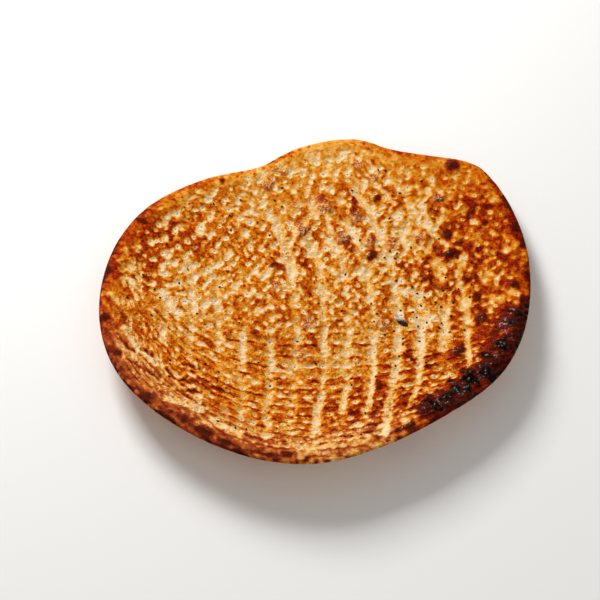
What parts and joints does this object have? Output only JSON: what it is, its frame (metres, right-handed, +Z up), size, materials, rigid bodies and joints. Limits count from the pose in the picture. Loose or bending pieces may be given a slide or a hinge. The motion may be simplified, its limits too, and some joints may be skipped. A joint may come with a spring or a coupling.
{
  "type": "tandoor flatbread",
  "caption": "Large dished flatbread with pricked and furrowed face, raised scorched rim and baked-in nigella seeds, resting on a flat underside.",
  "frame": {"origin": "centre of the bounding box in plan, on the surface that the bread rests on", "axes": "+Z up, the pricked face; +X to the right across the longest width of the bread; +Y away from the viewer of the picture"},
  "size_m": [0.4, 0.3726, 0.0423],
  "materials": {
    "crust": "matte baked crust, cream in the pricks and furrows, golden to dark brown on the ridges, charred on the rim",
    "seed": "matte black seed",
    "flake": "ash-grey torn crust, black along its edge"
  },
  "bodies": {
    "root": {"flatbread": "crust"}
  },
  "joints": []
}
